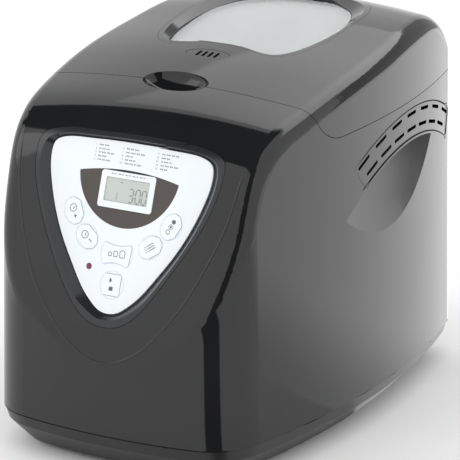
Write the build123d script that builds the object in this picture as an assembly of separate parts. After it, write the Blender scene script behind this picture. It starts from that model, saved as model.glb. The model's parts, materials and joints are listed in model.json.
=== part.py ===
from build123d import *
from math import sin, cos, radians, sqrt, hypot, asin
import os

# Bread machine. Millimetres, +Z up, front towards -Y, the floor at z = 0.
# The origin is under the middle of the whole object, hinge knuckles included.
os.makedirs("parts", exist_ok=True)

# Housing
half_width = 120
body_depth = 386
hinge_reach = 10
foot_height = 5
z_seam = 30
lid_z = 234
crown_z = 295
wall = 2.6
draft = 1.0
front_corner = 46
rear_corner = 34
top_edge = 14
front_y = -(body_depth + hinge_reach) / 2
rear_y = front_y + body_depth
widest_y = front_y + 0.45 * body_depth
side_radius = 695 * (body_depth / 386) ** 2
front_bow = 400
rear_bow = 900
crown_axis = -400
rear_arc = 100

# Parting line between body and lid
seam_gap = 0.25
seam_turn_y = front_y + 146
seam_radius = 40
seam_angle = radians(65)
seam_front_y = front_y + 105

# Control panel plane, seen square on: u to the right, h up the slope
panel_tilt = radians(18.5)
panel_y = front_y - 18.7
fascia = 1.6
key_ring_h = 182.2
key_ring_r = 45.3

# Baking chamber, pan and drive
pan_y = rear_y - 137
chamber_x = half_width - 40
chamber_y = 90
chamber_floor = 70
chamber_top = 229
pan_x = chamber_x - 20
pan_half_y = chamber_y - 18
pan_floor = 88
pan_top = 206
shaft_r = 4
belt_span = 150
motor_y = pan_y - belt_span
motor_size = 66
plate_z = 52
plate_t = 1.5
small_pulley_r = 9
large_pulley_r = 40

# Hinge
hinge_y = rear_y + 3
hinge_r = hinge_reach - 3
knuckle_in = 40
knuckle_mid = 50
knuckle_out = 60
knuckle_end = 70

# Side vents and grip
band_y = rear_y - 125.8
band_z = 7.2
band_inner = 197.9
band_outer = 220.3
dish_ledge = 195.6

panel = Plane(origin=(0, panel_y, z_seam), x_dir=(1, 0, 0), z_dir=(0, -cos(panel_tilt), sin(panel_tilt)))


def block(x0, x1, y0, y1, z0, z1):
    """Box between two corners."""
    centre = Pos((x0 + x1) / 2, (y0 + y1) / 2, (z0 + z1) / 2)
    return centre * Box(x1 - x0, y1 - y0, z1 - z0)


def rod(x, y, z0, z1, radius):
    """Upright cylinder between two heights."""
    return Pos(x, y, (z0 + z1) / 2) * Cylinder(radius, z1 - z0)


def upright(face, z0, z1):
    """A plan outline carried up from z0 to z1."""
    return extrude(Plane.XY.offset(z0) * face, amount=z1 - z0, dir=(0, 0, 1))


def across(face, x0, x1):
    """A side-view outline (y, z) carried along X."""
    return extrude(Plane.YZ.offset(x0) * face, amount=x1 - x0, dir=(1, 0, 0))


def slab(face, n0, n1):
    """A panel outline (u, h) carried out along the panel's normal."""
    return extrude(panel.offset(n0) * face, amount=n1 - n0, dir=panel.z_dir)


def rounded(half_x, half_y, radius):
    """Rounded rectangle about the origin."""
    return RectangleRounded(2 * half_x, 2 * half_y, radius)


def moved_out(points, grow):
    """Half outline from tip to top, each point moved outwards square to the line."""
    moved = []
    last = len(points) - 1
    for i in range(len(points)):
        before = points[max(i - 1, 0)]
        after = points[min(i + 1, last)]
        run = after[0] - before[0]
        rise = after[1] - before[1]
        length = hypot(run, rise)
        out = (rise / length, -run / length)
        if i == 0:
            out = (0, -1)
        if i == last and points[i][0] == 0:
            out = (0, 1)
        moved.append((points[i][0] + grow * out[0], points[i][1] + grow * out[1]))
    return moved


def shield(points, grow=0):
    """Closed outline, the same on both sides, through a half outline given from tip to top."""
    moved = moved_out(points, grow)
    mirrored = [(-x, y) for x, y in reversed(moved)]
    right = Spline(*moved, tangents=[(1, 0), (-1, 0)])
    left = Spline(*mirrored, tangents=[(-1, 0), (1, 0)])
    return make_face([right, left])


fascia_line = [(0, 93.8), (14, 99.5), (23, 108), (34.2, 123), (46.7, 142), (57.3, 163), (64.4, 183),
               (67.5, 202), (65.3, 210), (58, 213.8), (40, 215.6), (20, 216.4), (0, 216.7)]
recess_line = [(0, 83.5), (24.9, 94), (41.8, 116), (57.3, 142), (69, 165), (75.6, 184),
               (78.3, 202), (76, 214), (67, 219.2), (36, 221.8), (0, 222.8)]


def rearward(points):
    """Window outlines are given from the front of the window, so they follow the lid."""
    return [(x, front_y + 175 + y) for x, y in points]


window_line = rearward([(0, 0), (20, -2), (35, -5.6), (44, -4.5), (50, 3), (56, 21), (59, 45), (58, 76),
                        (52, 99), (43, 114), (26, 127), (0, 134)])
bevel_line = rearward([(0, -4), (20, -6), (38, -10.5), (49, -9), (58, 0), (63.5, 14), (67, 33), (68.5, 58),
                       (67, 88), (62, 111), (50, 130), (35, 141), (18, 149), (0, 152)])


def plan(inset):
    """Barrel-shaped plan of the housing, moved inwards by the inset: every arc keeps its centre."""
    side = side_radius - inset
    centre_x = half_width - side_radius
    corners = []
    for middle_y, bow, sign in ((front_y + inset, front_bow - inset, 1), (rear_y - inset, rear_bow - inset, -1)):
        y = middle_y
        for step in range(12):
            x = centre_x + sqrt(side ** 2 - (y - widest_y) ** 2)
            y = middle_y + sign * (bow - sqrt(bow ** 2 - x ** 2))
        corners.append((x, y))
    (xf, yf), (xr, yr) = corners
    right = ThreePointArc((xf, yf), (half_width - inset, widest_y), (xr, yr))
    back = ThreePointArc((xr, yr), (0, rear_y - inset), (-xr, yr))
    left = ThreePointArc((-xr, yr), (inset - half_width, widest_y), (-xf, yf))
    front = ThreePointArc((-xf, yf), (0, front_y + inset), (xf, yf))
    face = make_face([right, back, left, front])
    ends = face.vertices().sort_by(Axis.Y)
    face = fillet(ends[:2], front_corner - inset)
    rear = [v for v in face.vertices() if abs(v.Y - yr) < 0.001]
    return fillet(rear, rear_corner - inset)


def side_profile(inset):
    """Side view of the housing on the centre line, open below, moved inwards by the inset."""
    crown_s = body_depth - 94
    heights = [(-4, 50), (1, 84), (12.5, 141), (33, 203), (44, 232), (62, 252.5), (99.4, 267.4),
               (160, 281), (225, 290), (crown_s, crown_z)]
    outer = Spline(*[(front_y + s, z) for s, z in heights], tangents=[(0.09, 1), (1, 0)])
    points = []
    for i in range(25):
        place = outer @ (i / 24)
        way = outer % (i / 24)
        points.append((place.X + inset * way.Y, place.Y - inset * way.X))
    nose = Spline(*points, tangents=[(0.09, 1), (1, 0)])
    turn = radians(72)
    r = rear_arc - inset
    centre = (front_y + crown_s, crown_z - rear_arc)
    middle = (centre[0] + r * sin(turn / 2), centre[1] + r * cos(turn / 2))
    end = (centre[0] + r * sin(turn), centre[1] + r * cos(turn))
    far = (end[0] + 60 * cos(turn), end[1] - 60 * sin(turn))
    back = ThreePointArc(points[-1], middle, end)
    rest = Polyline(end, far, (far[0], -30), (points[0][0] - 8, -30), points[0])
    return Plane.YZ * make_face(Curve() + [nose, back, rest])


def form(inset):
    """The whole housing above the base seam as one solid, every face moved inwards by the inset."""
    barrel = extrude(Plane.XY.offset(z_seam) * plan(inset), amount=300, taper=draft)
    axis = Axis((0, 0, crown_axis), (0, 1, 0))
    crown = revolve(side_profile(inset), axis=axis, revolution_arc=44).rotate(axis, -22)
    solid = barrel & crown
    rim = []
    for edge in solid.edges():
        straight = edge.geom_type in (GeomType.LINE, GeomType.CIRCLE)
        if not straight and edge.center().Z > z_seam + 1:
            rim.append(edge)
    return fillet(rim, top_edge - inset)


forms = {}


def housing(inset):
    """The housing form at an inset, worked out once."""
    if inset not in forms:
        forms[inset] = form(inset)
    return forms[inset]


def layer(outer, inner):
    """The part of the housing between two insets."""
    return housing(outer) - housing(inner)


def seam_points(rise):
    """Corner points of the parting line moved up by the rise: back, turn, arc middle, arc end, tip."""
    r = seam_radius - rise
    centre_z = lid_z + seam_radius
    middle = (seam_turn_y - r * sin(seam_angle / 2), centre_z - r * cos(seam_angle / 2))
    end = (seam_turn_y - r * sin(seam_angle), centre_z - r * cos(seam_angle))
    tip = (end[0] - 60 * cos(seam_angle), end[1] + 60 * sin(seam_angle))
    return (rear_y + 80, lid_z + rise), (seam_turn_y, lid_z + rise), middle, end, tip


def seam_side(rise, above):
    """Everything above (or below) the parting line, as a long prism along X."""
    back, turn, middle, end, tip = seam_points(rise)
    line = [Line(back, turn), ThreePointArc(turn, middle, end), Line(end, tip)]
    if above:
        rest = Polyline(tip, (tip[0], 420), (back[0], 420), back)
    else:
        rest = Polyline(tip, (front_y - 60, tip[1]), (front_y - 60, -60), (back[0], -60), back)
    return across(make_face(line + [rest]), -half_width - 40, half_width + 40)


def spheroid(long_half, short_half):
    """Ellipse turned about X, for the finger notch at the front of the lid."""
    half = Ellipse(long_half, short_half) & Pos(0, short_half) * Rectangle(4 * long_half, 2 * short_half)
    return Pos(0, seam_front_y, 272) * revolve(half, Axis.X)


def dish(thick):
    """Hand grip in one or both sides: a very large sphere cut off by the ledge under the vents."""
    both = None
    ledge = across(Pos(band_y, band_z) * Circle(dish_ledge + thick), -half_width - 40, half_width + 40)
    for side in (-1, 1):
        ball = Pos(side * (half_width + 961.6), band_y + 12, 404) * Sphere(1000 + thick)
        near = block(side * half_width - 45, side * half_width + 45, front_y, rear_y, 90, 240)
        cut = ball & near & ledge
        both = cut if both is None else both + cut
    return both


def sector(inner, outer, first, last, corner):
    """Curved band outline in the side view."""
    def at(radius, angle):
        return (band_y + radius * sin(radians(angle)), band_z + radius * cos(radians(angle)))
    middle = (first + last) / 2
    top = ThreePointArc(at(outer, first), at(outer, middle), at(outer, last))
    low = ThreePointArc(at(inner, last), at(inner, middle), at(inner, first))
    face = make_face([top, Line(at(outer, last), at(inner, last)), low, Line(at(inner, first), at(outer, first))])
    return fillet(face.vertices(), corner)


def vent_slots():
    """Two curved rows of slots."""
    faces = []
    for radius, first, last in ((216, -22.4, 24.2), (204.5, -19.8, 21.6)):
        for i in range(7):
            angle = first + (last - first) * i / 6
            y = band_y + radius * sin(radians(angle))
            z = band_z + radius * cos(radians(angle))
            faces.append(Pos(y, z) * Rot(0, 0, -angle) * SlotOverall(18.5, 2.7))
    return faces


def plate_ring(outer_x, outer_y, inner_x, inner_y, outer_r, inner_r, z0, z1):
    """Rounded rectangular ring about the pan's axis."""
    face = rounded(outer_x, outer_y, outer_r) - rounded(inner_x, inner_y, inner_r)
    return upright(Pos(0, pan_y) * face, z0, z1)


screw_spots = [(-82, front_y + 58), (82, front_y + 58), (-70, rear_y - 56), (70, rear_y - 56)]
pillar_spots = [(-70, motor_y - 28), (70, motor_y - 28), (-66, pan_y + 62), (66, pan_y + 62)]
foot_spots = [(-66, front_y + 46), (66, front_y + 46), (-56, rear_y - 40), (56, rear_y - 40)]


def body_shell():
    """Main housing: outer skin, top deck, panel pocket, grips, hinge knuckles and screw bosses."""
    skin = housing(0) & seam_side(-seam_gap, False)
    hollow = housing(wall) & seam_side(-seam_gap - wall, False)
    pocket = slab(shield(recess_line), -4, 30)
    lining = slab(shield(recess_line, wall), -4 - wall, 30)
    hollow = hollow - lining - dish(wall) - spheroid(30, 17)
    shell = skin - hollow - pocket - dish(0) - spheroid(27.5, 14.5)
    half = [(8, 97.5), (30.5, 122.5), (43, 142), (53.5, 163), (60.5, 184), (62, 207)]
    service = Polygon(*half, *[(-u, h) for u, h in reversed(half)], align=None)
    shell = shell - slab(service, -12, 0)
    mouth = upright(Pos(0, pan_y) * rounded(chamber_x - 1.5, chamber_y - 1.5, 26), 200, 260)
    shell = shell - mouth
    band = across(sector(band_inner, band_outer, -25.8, 27.5, 4), -half_width - 20, half_width + 20)
    band = band & layer(0, 3.9)
    shell = shell - band
    for x, y in screw_spots:
        side = 1 if x > 0 else -1
        reach = side * half_width
        rib = block(min(x, reach), max(x, reach), y - 1.2, y + 1.2, z_seam + 4, z_seam + 36)
        boss = rod(x, y, z_seam + 1, z_seam + 38, 5) + rib
        shell = shell + (boss & housing(1))
        shell = shell - rod(x, y, z_seam, z_seam + 34, 1.6)
    for i in range(9):
        x = -32 + 8 * i
        slot = Pos(x, rear_y, 92) * Rot(90, 0, 0) * extrude(SlotOverall(46, 3.2).rotate(Axis.Z, 90), amount=12, both=True)
        shell = shell - slot
    shell = shell - Pos(-60, rear_y - 4, 56) * Rot(90, 0, 0) * Cylinder(7.2, 40)
    return shell


def hinge_axis_rod(x0, x1, radius):
    """Cylinder on the hinge axis."""
    return Pos((x0 + x1) / 2, hinge_y, lid_z) * Rot(0, 90, 0) * Cylinder(radius, x1 - x0)


def body_with_hinge():
    """Body shell with its two pairs of hinge knuckles and clearance for the lid's own knuckles."""
    shell = body_shell()
    for side in (-1, 1):
        mid = sorted((side * knuckle_mid, side * knuckle_out))
        shell = shell - hinge_axis_rod(mid[0] - 0.3, mid[1] + 0.3, hinge_r + 0.7)
        for a, b in ((knuckle_in, knuckle_mid - 0.3), (knuckle_out + 0.3, knuckle_end)):
            x0, x1 = sorted((side * a, side * b))
            bracket = block(x0, x1, hinge_y - hinge_r - 4, hinge_y, lid_z - 18, lid_z - seam_gap)
            slope = Pos((x0 + x1) / 2, hinge_y, lid_z - 24) * Rot(-40, 0, 0) * Box(x1 - x0 + 2, 14, 30)
            knuckle = hinge_axis_rod(x0, x1, hinge_r) + (bracket - slope)
            shell = shell + (knuckle - housing(1.5))
    return shell - hinge_axis_rod(-knuckle_end - 5, knuckle_end + 5, 2)


def lid_shell():
    """Lid skin with the window and vent openings, the finger notch and two hinge arms."""
    skin = housing(0) & seam_side(seam_gap, True)
    hollow = housing(wall) & seam_side(-6, True)
    hollow = hollow - spheroid(30, 17)
    shell = skin - hollow - spheroid(27.5, 14.5)
    shell = shell - upright(shield(bevel_line), 250, 320)
    shell = shell - upright(Pos(0, front_y + 151) * Ellipse(18.5, 8), 250, 320)
    shell = shell - hinge_axis_rod(-knuckle_end - 0.5, knuckle_end + 0.5, hinge_r + 0.7)
    for side in (-1, 1):
        x0, x1 = sorted((side * (knuckle_mid + 0.1), side * (knuckle_out - 0.1)))
        arm = block(x0, x1, hinge_y - hinge_r - 4, hinge_y, lid_z + seam_gap, lid_z + 12)
        slope = Pos((x0 + x1) / 2, hinge_y + 2, lid_z + 15) * Rot(35, 0, 0) * Box(x1 - x0 + 2, 24, 10)
        arm = (arm - slope) - housing(1.5)
        shell = shell + arm + hinge_axis_rod(x0, x1, hinge_r)
    return shell - hinge_axis_rod(-knuckle_end - 5, knuckle_end + 5, 2.05)


def hinge_pins():
    """Two steel pins, one for each hinge."""
    return [hinge_axis_rod(-knuckle_end - 0.5, -knuckle_in + 0.5, 2), hinge_axis_rod(knuckle_in - 0.5, knuckle_end + 0.5, 2)]


def tray_form(inset, floor_z):
    """Base tray solid: steep upper band, then a strong inward slope to the floor."""
    knee_z = z_seam - 9
    top = Plane.XY.offset(z_seam - 0.3) * plan(inset)
    knee = Plane.XY.offset(knee_z) * plan(inset + 2.8)
    floor = Plane.XY.offset(floor_z) * plan(inset + 2.8 + (knee_z - floor_z) * 0.97)
    return loft([top, knee], ruled=True) + loft([knee, floor], ruled=True)


def base_tray():
    """Base tray with pillars for the chassis plate, screw bosses, foot sockets and air slots."""
    tray = tray_form(0.5, foot_height) - tray_form(0.5 + wall, foot_height + wall)
    for x, y in pillar_spots:
        tray = tray + (rod(x, y, foot_height + 1, plate_z, 6.5) - rod(x, y, plate_z - 14, plate_z + 1, 1.8))
    for x, y in screw_spots:
        tray = tray + rod(x, y, foot_height, z_seam + 0.5, 6.5)
        tray = tray - rod(x, y, foot_height - 1, foot_height + 12, 3.9) - rod(x, y, foot_height, z_seam + 1, 1.7)
    for x, y in foot_spots:
        tray = tray - rod(x, y, 0, foot_height + 5, 3.1)
    for i in range(8):
        y = motor_y - 35 + 10 * i
        for side in (-1, 1):
            tray = tray - upright(Pos(side * 28, y) * SlotOverall(34, 4), foot_height - 1, foot_height + 4)
    return tray


def rubber_feet():
    """Four soft feet with a press-in stem."""
    feet = []
    for x, y in foot_spots:
        disc = Pos(x, y, foot_height / 2) * Cylinder(11, foot_height)
        disc = chamfer(disc.edges().group_by(Axis.Z)[0], 1.2)
        feet.append(disc + rod(x, y, foot_height - 0.5, foot_height + 4, 3))
    return feet


def screw(x, y, z_head, head_r, shank_r, length, up):
    """Round-head screw: head at z_head, shank pointing up or down, cross slot in the head."""
    head = rod(x, y, z_head, z_head + 2.4, head_r)
    if up:
        shank = rod(x, y, z_head + 2, z_head + 2.4 + length, shank_r)
        cross = block(x - 2, x + 2, y - 0.4, y + 0.4, z_head, z_head + 1.2)
        cross = cross + block(x - 0.4, x + 0.4, y - 2, y + 2, z_head, z_head + 1.2)
    else:
        shank = rod(x, y, z_head - length, z_head + 0.4, shank_r)
        cross = block(x - 2, x + 2, y - 0.4, y + 0.4, z_head + 1.2, z_head + 2.4)
        cross = cross + block(x - 0.4, x + 0.4, y - 2, y + 2, z_head + 1.2, z_head + 2.4)
    return head + shank - cross


def case_screws():
    """Screws from below through the tray into the housing bosses."""
    return [screw(x, y, foot_height + 9.6, 3.4, 1.5, 40, True) for x, y in screw_spots]


def vent_insert(side):
    """Curved vent strip with two rows of slots for one side wall."""
    x0, x1 = sorted((side * 60, side * (half_width + 20)))
    strip = across(sector(band_inner + 0.3, band_outer - 0.3, -25.72, 27.42, 3.8), x0, x1) & layer(0.4, 3.4)
    for face in vent_slots():
        strip = strip - across(face, x0, x1)
    return strip


def lid_liner():
    """Inner skin of the lid along the parting line, with the inner window opening."""
    skin = housing(3.1) & (seam_side(seam_gap, True) - seam_side(seam_gap + 2, True))
    skin = skin - spheroid(31, 18)
    opening = upright(shield(window_line, -8), 200, 280)
    return skin - opening - hinge_axis_rod(-knuckle_end - 1, knuckle_end + 1, hinge_r + 1)


def inner_window():
    """Flat glass lying on the liner."""
    return upright(shield(window_line, -2), lid_z + seam_gap + 2, lid_z + seam_gap + 4.4)


def window_duct():
    """Light reflecting tube from the inner glass up to the outer window."""
    tube = shield(window_line, 2.4) - shield(window_line, 0.8)
    return upright(tube, lid_z + seam_gap + 2.05, 300) & housing(9)


def window_bezel():
    """Sloped frame around the outer window."""
    ring = upright(shield(bevel_line, -0.25), 255, 320) & layer(0, 8.6)
    seat = Plane(origin=(0, front_y + 242, 291.6), x_dir=(1, 0, 0), z_dir=(0, -sin(radians(5.5)), cos(radians(5.5))))
    shift = front_y + 242
    low = [(x, (y - shift) / cos(radians(5.5))) for x, y in window_line]
    high = [(x, (y - shift) / cos(radians(5.5))) for x, y in bevel_line]
    low_face = seat.offset(-7.5) * shield(low)
    high_face = seat.offset(-1.2) * shield(high, -1)
    funnel = loft([low_face, high_face])
    funnel = funnel + extrude(high_face, amount=12, dir=seat.z_dir)
    return ring - funnel - upright(shield(window_line), 240, 320)


def lid_window():
    """Outer window pane, curved like the lid."""
    return upright(shield(window_line, -0.3), 255, 320) & layer(6, 8.6)


def lid_vent_grille():
    """Oval steam vent with four short slots."""
    centre = Pos(0, front_y + 151)
    grille = upright(centre * Ellipse(18.2, 7.7), 250, 320) & layer(0.15, 2.6)
    for i in range(4):
        slot = centre * Pos(-7.5 + 5 * i, 0) * Rot(0, 0, 90) * SlotOverall(8.6, 2.4)
        grille = grille - upright(slot, 250, 320)
    return grille


def key_faces(grow=0):
    """Outline of each key on the panel, grown all round: name, middle and face."""
    faces = []
    for name, angle in (("time_up", -64), ("time_down", -36), ("menu", 36), ("color", 64)):
        u = key_ring_r * sin(radians(angle))
        h = key_ring_h - key_ring_r * cos(radians(angle))
        half = [(9.6 + grow, -2.5), (9.6 + grow, 2.5), (5.2, 6.8 + grow), (-5.2, 6.8 + grow)]
        lozenge = Polygon(*half, *[(-x, -y) for x, y in half], align=None)
        lozenge = fillet(lozenge.vertices(), 2.6)
        faces.append((name, (u, h), Pos(u, h) * Rot(0, 0, angle) * lozenge))
    x1, y1, x2, y2 = 12 + grow, 8 + grow, 11 + grow, -9 - grow
    waist = [ThreePointArc((-x1, y1), (0, 5.6 + grow), (x1, y1)), Line((x1, y1), (x2, y2)),
             ThreePointArc((x2, y2), (0, -6.4 - grow), (-x2, y2)), Line((-x2, y2), (-x1, y1))]
    loaf = fillet(make_face(waist).vertices(), 2)
    spot = (0, key_ring_h - key_ring_r)
    faces.append(("loaf_size", spot, Pos(*spot) * loaf))
    faces.append(("start_stop", (0, 114.6), Pos(0, 114.6) * rounded(7.1 + grow, 7.7 + grow, 1.6)))
    return faces


lcd_centre = Pos(0, 181.9)
led_spot = Pos(-21.2, 125)


def display_outline(grow=0):
    """D-shaped dark field: a disc cut off by a slightly arched top."""
    disc = Pos(0, 197.3) * Circle(41.8 + grow)
    arch = Pos(0, 196.9 + grow - 190) * Circle(190)
    face = disc & arch
    corners = face.vertices().sort_by(Axis.X)
    return fillet([corners[0], corners[-1]], 0.8)


def panel_bezel():
    """Dark frame in the housing pocket: sloped border, floor under the fascia, four board posts."""
    ring = slab(shield(recess_line, -0.4), -4, 25) & housing(0)
    low = panel.offset(-1.7) * shield(fascia_line, 0.3)
    high = panel.offset(7) * shield(recess_line_even(), -1.6)
    frame = ring - loft([low, high])
    frame = frame - slab(shield(recess_line_even(), -1.6), 7, 30)
    for name, spot, face in key_faces(0.35):
        frame = frame - slab(face, -5, 0)
    frame = frame - slab(lcd_centre * rounded(20, 9.5, 1), -5, 0) - slab(led_spot * Circle(2.6), -5, 0)
    for u, h in post_spots:
        frame = frame + slab(Pos(u, h) * Circle(3), -9.9, -3.5) - slab(Pos(u, h) * Circle(1.1), -11, -4.5)
    return frame


post_spots = [(-52, 190), (52, 190), (-14, 119), (14, 119)]


def recess_line_even():
    """Recess outline with as many points as the fascia outline, so the two blend smoothly."""
    return [(0, 83.5), (15, 88), (27, 96), (41.8, 116), (55, 137.5), (66.8, 160), (75, 182),
            (78.3, 202), (76, 214), (67, 219.2), (36, 221.8), (0, 222.8)]


def fascia_panel():
    """White panel with openings for the keys, the display and the lamp."""
    plate = slab(shield(fascia_line), -fascia, 0)
    for name, spot, face in key_faces(0.3):
        plate = plate - slab(face, -3, 1)
    plate = plate - slab(display_outline(), -3, 1)
    return plate - slab(led_spot * Circle(2.3), -3, 1)


def display_field():
    """Dark field around the display."""
    field = slab(display_outline(-0.15), -1.7, -0.1)
    above = Pos(0, 195) * Rectangle(45.6, 8)
    return field - slab(lcd_centre * rounded(22.8, 13.5, 2.4) + above, -3, 1)


def lcd_frame():
    """White frame standing slightly proud of the dark field."""
    frame = slab(lcd_centre * rounded(22.6, 13.3, 2.2), -1.7, 0.5)
    return frame - slab(lcd_centre * rounded(18.2, 8.6, 0.6), -3, 1)


def lcd_module():
    """Display block with its glass standing up inside the frame."""
    glass = slab(lcd_centre * rounded(18.05, 8.45, 0.5), -2, -0.3)
    return glass + slab(lcd_centre * Rectangle(38, 17), -9.8, -1.9)


def led_indicator():
    """Small lamp lens."""
    lens = slab(led_spot * Circle(2), -8, 0.4)
    lens = fillet(lens.edges().sort_by(Axis.Z)[-1:], 0.3)
    return lens + slab(led_spot * Circle(2.4), -9.8, -5)


def key_cap(number):
    """One key: cap in the fascia opening, wider flange below the bezel floor and a short stem."""
    name, spot, face = key_faces()[number]
    cap = slab(face, -4.6, 0.5)
    flange = slab(key_faces(0.9)[number][2], -5.2, -4.2)
    stem = slab(Pos(*spot) * Circle(1.8), -6, -5)
    return cap + flange + stem


def key_switches():
    """Six push switches on the control board."""
    switches = []
    for name, spot, face in key_faces():
        place = Pos(*spot)
        base = slab(place * Rectangle(6, 6), -9.9, -7.6)
        switches.append(base + slab(place * Circle(1.7), -7.7, -7.1))
    return switches


def control_board():
    """Circuit board behind the keys and the display, with processor, connector and beeper on its back."""
    outline = Polygon((-22, 104), (22, 104), (58, 170), (58, 196), (-58, 196), (-58, 170))
    board = slab(outline, -11.5, -9.9)
    for u, h in post_spots:
        board = board - slab(Pos(u, h) * Circle(1.3), -12, -9)
    chip = slab(Pos(0, 160) * Rectangle(16, 12), -14, -11.5)
    plug = slab(Pos(30, 176) * Rectangle(22, 6), -18, -11.5)
    beeper = slab(Pos(-30, 176) * Circle(6), -18, -11.5)
    return board + chip + plug + beeper


def board_screws():
    """Four screws that hold the control board."""
    screws = []
    for u, h in post_spots:
        screws.append(slab(Pos(u, h) * Circle(2.4), -13, -11.5) + slab(Pos(u, h) * Circle(1), -11.6, -5))
    return screws


def chassis_plate():
    """Steel plate for the motor, bearing and chamber, with two bent-up ears for the supply board."""
    outline = Pos(0, (motor_y + pan_y) / 2 + 8) * rounded(78, belt_span / 2 + 52, 12)
    plate = upright(outline, plate_z, plate_z + plate_t)
    for x, y in pillar_spots:
        plate = plate - rod(x, y, plate_z - 1, plate_z + 3, 2)
    plate = plate - rod(0, pan_y, plate_z - 1, plate_z + 3, 6) - rod(0, motor_y, plate_z - 1, plate_z + 3, 8)
    for x in (-1, 1):
        for y in (-1, 1):
            plate = plate - rod(27 * x, motor_y + 27 * y, plate_z - 1, plate_z + 3, 1.9)
    for y in (motor_y - 28, motor_y + 22):
        plate = plate + block(-65.2, -64, y, y + 10, plate_z, plate_z + 30)
    return plate


def chassis_screws():
    """Screws that hold the chassis plate on the tray pillars."""
    return [screw(x, y, plate_z + plate_t, 3.6, 1.7, 11, False) for x, y in pillar_spots]


def chamber():
    """Baking chamber: sheet box, open at the top, with a flange and holes for what passes through."""
    half_x = chamber_x
    outer = upright(Pos(0, pan_y) * rounded(half_x, chamber_y, 28), chamber_floor, chamber_top)
    inner = upright(Pos(0, pan_y) * rounded(half_x - 0.8, chamber_y - 0.8, 27.2), chamber_floor + 0.8, chamber_top + 5)
    flange = plate_ring(half_x + 7, chamber_y + 7, half_x - 0.8, chamber_y - 0.8, 34, 27.2, chamber_top - 0.8, chamber_top)
    box = outer - inner + flange
    box = box - rod(0, pan_y, chamber_floor - 1, chamber_floor + 2, 6)
    for x in (-14, 14):
        box = box - Pos(x, pan_y - chamber_y, chamber_floor + 20) * Rot(90, 0, 0) * Cylinder(3.6, 10)
    box = box - Pos(34, pan_y - chamber_y, chamber_floor + 60) * Rot(90, 0, 0) * Cylinder(3.2, 10)
    return box


def chamber_legs():
    """Four bent legs between the chassis plate and the chamber floor."""
    legs = []
    for x in (-56, 56):
        for y in (pan_y - 60, pan_y + 48):
            foot = block(x - 7, x + 7, y - 1, y + 9, plate_z + plate_t, plate_z + plate_t + 1.2)
            post = block(x - 7, x + 7, y - 1, y + 0.2, plate_z + plate_t, chamber_floor)
            top = block(x - 7, x + 7, y - 9, y + 0.2, chamber_floor - 1.2, chamber_floor)
            legs.append(foot + post + top)
    return legs


def oven_rim():
    """Collar around the chamber mouth, clamped between the flange and the deck."""
    low = plate_ring(chamber_x + 4, chamber_y + 4, chamber_x - 3.6, chamber_y - 3.6, 31, 24.4, chamber_top, lid_z - 2.9)
    collar = plate_ring(chamber_x - 1.8, chamber_y - 1.8, chamber_x - 3.6, chamber_y - 3.6, 25.8, 24.4, lid_z - 3, lid_z)
    return low + collar


def heating_element():
    """Tubular heater loop around the pan with two ends through the chamber's front wall."""
    z = chamber_floor + 20
    x = chamber_x - 10
    y0 = pan_y - chamber_y + 11
    y1 = pan_y + chamber_y - 11
    end = pan_y - chamber_y - 12
    points = [(14, end, z), (14, y0, z), (x, y0, z), (x, y1, z), (-x, y1, z), (-x, y0, z), (-14, y0, z), (-14, end, z)]
    path = FilletPolyline(*points, radius=9)
    return sweep(Plane(origin=(14, end, z), z_dir=(0, 1, 0)) * Circle(3.2), path=path)


def heater_terminals():
    """Ceramic bushes with spade tabs on the heater ends."""
    parts = []
    y = pan_y - chamber_y
    for x in (-14, 14):
        bush = Pos(x, y - 4.2, chamber_floor + 20) * Rot(90, 0, 0) * (Cylinder(6, 8) - Cylinder(3.25, 10))
        parts.append(bush)
    return parts


def heater_clips():
    """Clips that hold the heater loop off the side walls."""
    parts = []
    z = chamber_floor + 20
    for side in (-1, 1):
        for y in (pan_y - 40, pan_y + 40):
            x0, x1 = sorted((side * (chamber_x - 0.8), side * (chamber_x - 13.5)))
            low = block(x0, x1, y - 4, y + 4, z - 4.6, z - 3.4)
            post = sorted((side * (chamber_x - 0.8), side * (chamber_x - 2)))
            parts.append(low + block(post[0], post[1], y - 4, y + 4, z - 4.6, z + 8))
    return parts


def temperature_sensor():
    """Probe through the chamber's front wall."""
    y = pan_y - chamber_y
    probe = Pos(34, y + 1, chamber_floor + 60) * Rot(90, 0, 0) * Cylinder(2.8, 22)
    collar = Pos(34, y - 3, chamber_floor + 60) * Rot(90, 0, 0) * Cylinder(6, 6)
    return probe + collar


def thermal_fuse():
    """Safety cut-out clipped to the outside of the chamber."""
    y = pan_y - chamber_y
    can = Pos(-40, y - 4, chamber_floor + 60) * Rot(90, 0, 0) * Cylinder(8, 8)
    tabs = block(-46, -43, y - 14, y - 7, chamber_floor + 59.6, chamber_floor + 60.4)
    return can + tabs + block(-37, -34, y - 14, y - 7, chamber_floor + 59.6, chamber_floor + 60.4)


def pan_socket():
    """Ring on the chamber floor that holds the pan's foot."""
    ring = rod(0, pan_y, chamber_floor + 0.8, chamber_floor + 11, 50) - rod(0, pan_y, chamber_floor, chamber_floor + 12, 47.5)
    foot = rod(0, pan_y, chamber_floor + 0.8, chamber_floor + 2, 54) - rod(0, pan_y, chamber_floor, chamber_floor + 4, 47.5)
    return ring + foot


def bearing_housing():
    """Flanged bearing for the drive shaft between the plate and the chamber floor."""
    flange = rod(0, pan_y, plate_z + plate_t, plate_z + plate_t + 3, 22)
    tower = rod(0, pan_y, plate_z + plate_t, chamber_floor - 0.4, 11)
    return flange + tower - rod(0, pan_y, plate_z, chamber_floor + 1, shaft_r + 0.05)


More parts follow.
